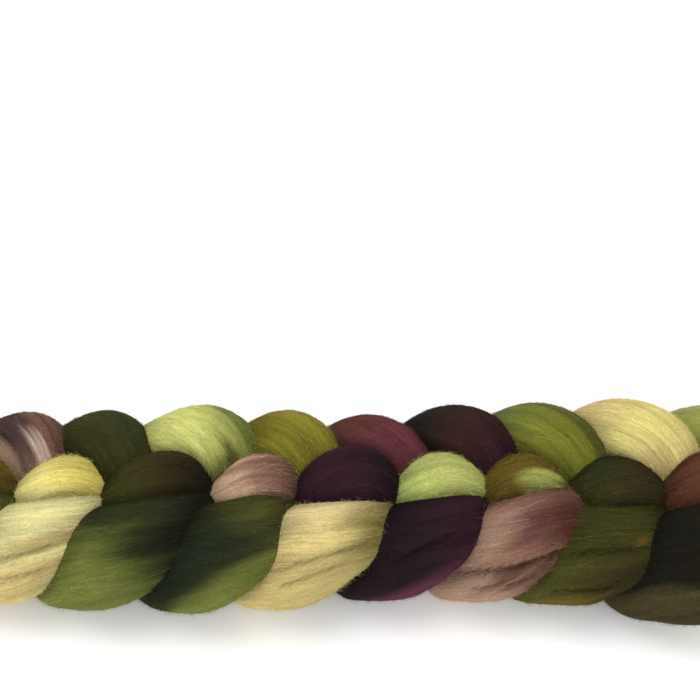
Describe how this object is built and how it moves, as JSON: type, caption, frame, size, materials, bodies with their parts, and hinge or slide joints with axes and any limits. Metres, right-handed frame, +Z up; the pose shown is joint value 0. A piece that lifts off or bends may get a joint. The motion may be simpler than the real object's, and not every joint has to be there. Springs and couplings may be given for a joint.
{
  "type": "braid of wool roving",
  "caption": "Chain-braided length of thick combed wool: a soft strand looped through itself into rows of plump lobes, with a short loose tail at each end.",
  "frame": {"origin": "centre of the bounding box on the plane that the braid rests on", "axes": "+X along the braid in the direction the chain grew, +Y towards the far legs, +Z up through the row of bumps"},
  "size_m": [0.5746, 0.1026, 0.0593],
  "materials": {
    "wool": "soft matte combed wool, hand-dyed in green, cream, mauve and near-black stretches"
  },
  "bodies": {
    "root": {"roving_braid": "wool"}
  },
  "joints": []
}
